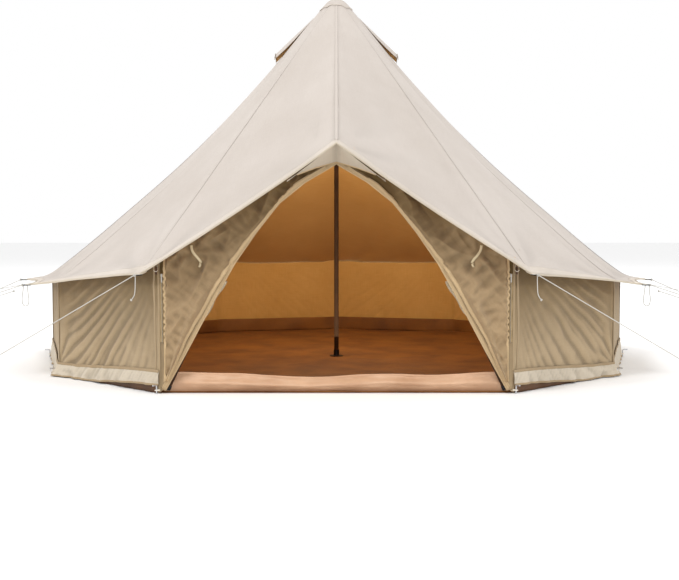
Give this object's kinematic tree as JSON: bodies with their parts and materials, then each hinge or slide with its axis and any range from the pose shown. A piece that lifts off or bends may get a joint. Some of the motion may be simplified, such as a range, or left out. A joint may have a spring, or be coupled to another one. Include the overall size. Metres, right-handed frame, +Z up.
{
  "type": "tent on poles",
  "caption": "Round canvas tent on a centre pole, with low vertical walls, an A-frame doorway tied open, roof vents, groundsheet, and guy ropes running to stakes.",
  "frame": {"origin": "on the ground under the centre pole, on the underside of the groundsheet", "axes": "+Z up along the centre pole, +Y from the doorway towards the back, +X to the right seen from in front"},
  "size_m": [6.159, 5.3933, 2.507],
  "materials": {
    "canvas": "woven cotton canvas",
    "hem": "light woven canvas",
    "mesh": "fine insect mesh",
    "groundsheet": "woven plastic sheet",
    "pole": "dark powder coat",
    "black_plastic": "moulded",
    "rope": "braided cord",
    "red_plastic": "moulded",
    "steel": "plated",
    "webbing": "woven tape",
    "toggle": "turned",
    "zip_tape": "woven tape",
    "zip_metal": "cast"
  },
  "bodies": {
    "tent": {"apex_cap": "canvas", "door_flap_left": "canvas", "door_flap_right": "canvas", "door_pole_elbow": "black_plastic", "door_pole_feet": "black_plastic", "door_pole_left": "pole", "door_pole_right": "pole", "door_ties": "webbing", "door_toggles": "toggle", "door_zips": "zip_tape", "eave_rings": "black_plastic", "front_gable": "canvas", "groundsheet_floor": "groundsheet", "groundsheet_upstand": "groundsheet", "guy_rope_01": "rope", "guy_rope_02": "rope", "guy_rope_03": "rope", "guy_rope_04": "rope", "guy_rope_05": "rope", "guy_rope_06": "rope", "guy_rope_07": "rope", "guy_rope_08": "rope", "guy_rope_09": "rope", "guy_rope_10": "rope", "guy_rope_11": "rope", "hem_loops": "webbing", "hem_pegs": "steel", "mesh_door": "mesh", "mud_flap": "hem", "pole_cap": "black_plastic", "pole_foot": "black_plastic", "pole_lower": "pole", "pole_middle": "pole", "pole_upper": "pole", "roof_canvas": "canvas", "rope_loop_left": "rope", "rope_loop_right": "rope", "rope_tail_left": "rope", "rope_tail_right": "rope", "stake_heads": "black_plastic", "stake_shafts": "steel", "vent_hoods": "canvas", "vent_meshes": "mesh", "wall_canvas": "canvas", "window_cover_left": "canvas", "window_cover_right": "canvas", "window_meshes": "mesh"},
    "runner_01": {"runner_01": "red_plastic"},
    "runner_02": {"runner_02": "red_plastic"},
    "runner_03": {"runner_03": "red_plastic"},
    "runner_04": {"runner_04": "red_plastic"},
    "runner_05": {"runner_05": "red_plastic"},
    "runner_06": {"runner_06": "red_plastic"},
    "runner_07": {"runner_07": "red_plastic"},
    "runner_08": {"runner_08": "red_plastic"},
    "runner_09": {"runner_09": "red_plastic"},
    "runner_10": {"runner_10": "red_plastic"},
    "runner_11": {"runner_11": "red_plastic"},
    "zip_slider_left": {"zip_slider_left": "zip_metal"},
    "zip_slider_right": {"zip_slider_right": "zip_metal"}
  },
  "joints": [
    {"name": "runner_01_slide", "type": "slide", "parent": "tent", "child": "runner_01", "axis": [0.5449, -0.7595, -0.3553], "range_m": [0, 0.068]},
    {"name": "runner_02_slide", "type": "slide", "parent": "tent", "child": "runner_02", "axis": [0.9356, -0.1779, -0.305], "range_m": [0, 0.068]},
    {"name": "runner_03_slide", "type": "slide", "parent": "tent", "child": "runner_03", "axis": [0.9174, 0, -0.398], "range_m": [0, 0.068]},
    {"name": "runner_04_slide", "type": "slide", "parent": "tent", "child": "runner_04", "axis": [0.8545, 0.4934, -0.1625], "range_m": [0, 0.068]},
    {"name": "runner_05_slide", "type": "slide", "parent": "tent", "child": "runner_05", "axis": [0.4728, 0.819, -0.3251], "range_m": [0, 0.068]},
    {"name": "runner_06_slide", "type": "slide", "parent": "tent", "child": "runner_06", "axis": [0, 0.7523, -0.6588], "range_m": [0, 0.068]},
    {"name": "runner_07_slide", "type": "slide", "parent": "tent", "child": "runner_07", "axis": [-0.4728, 0.819, -0.3251], "range_m": [0, 0.068]},
    {"name": "runner_08_slide", "type": "slide", "parent": "tent", "child": "runner_08", "axis": [-0.8545, 0.4934, -0.1625], "range_m": [0, 0.068]},
    {"name": "runner_09_slide", "type": "slide", "parent": "tent", "child": "runner_09", "axis": [-0.9174, 0, -0.398], "range_m": [0, 0.068]},
    {"name": "runner_10_slide", "type": "slide", "parent": "tent", "child": "runner_10", "axis": [-0.9356, -0.1779, -0.305], "range_m": [0, 0.068]},
    {"name": "runner_11_slide", "type": "slide", "parent": "tent", "child": "runner_11", "axis": [-0.5449, -0.7595, -0.3553], "range_m": [0, 0.068]},
    {"name": "zip_left", "type": "slide", "parent": "tent", "child": "zip_slider_left", "axis": [0, 0, -1], "range_m": [0, 0.36]},
    {"name": "zip_right", "type": "slide", "parent": "tent", "child": "zip_slider_right", "axis": [0, 0, -1], "range_m": [0, 0.36]}
  ]
}
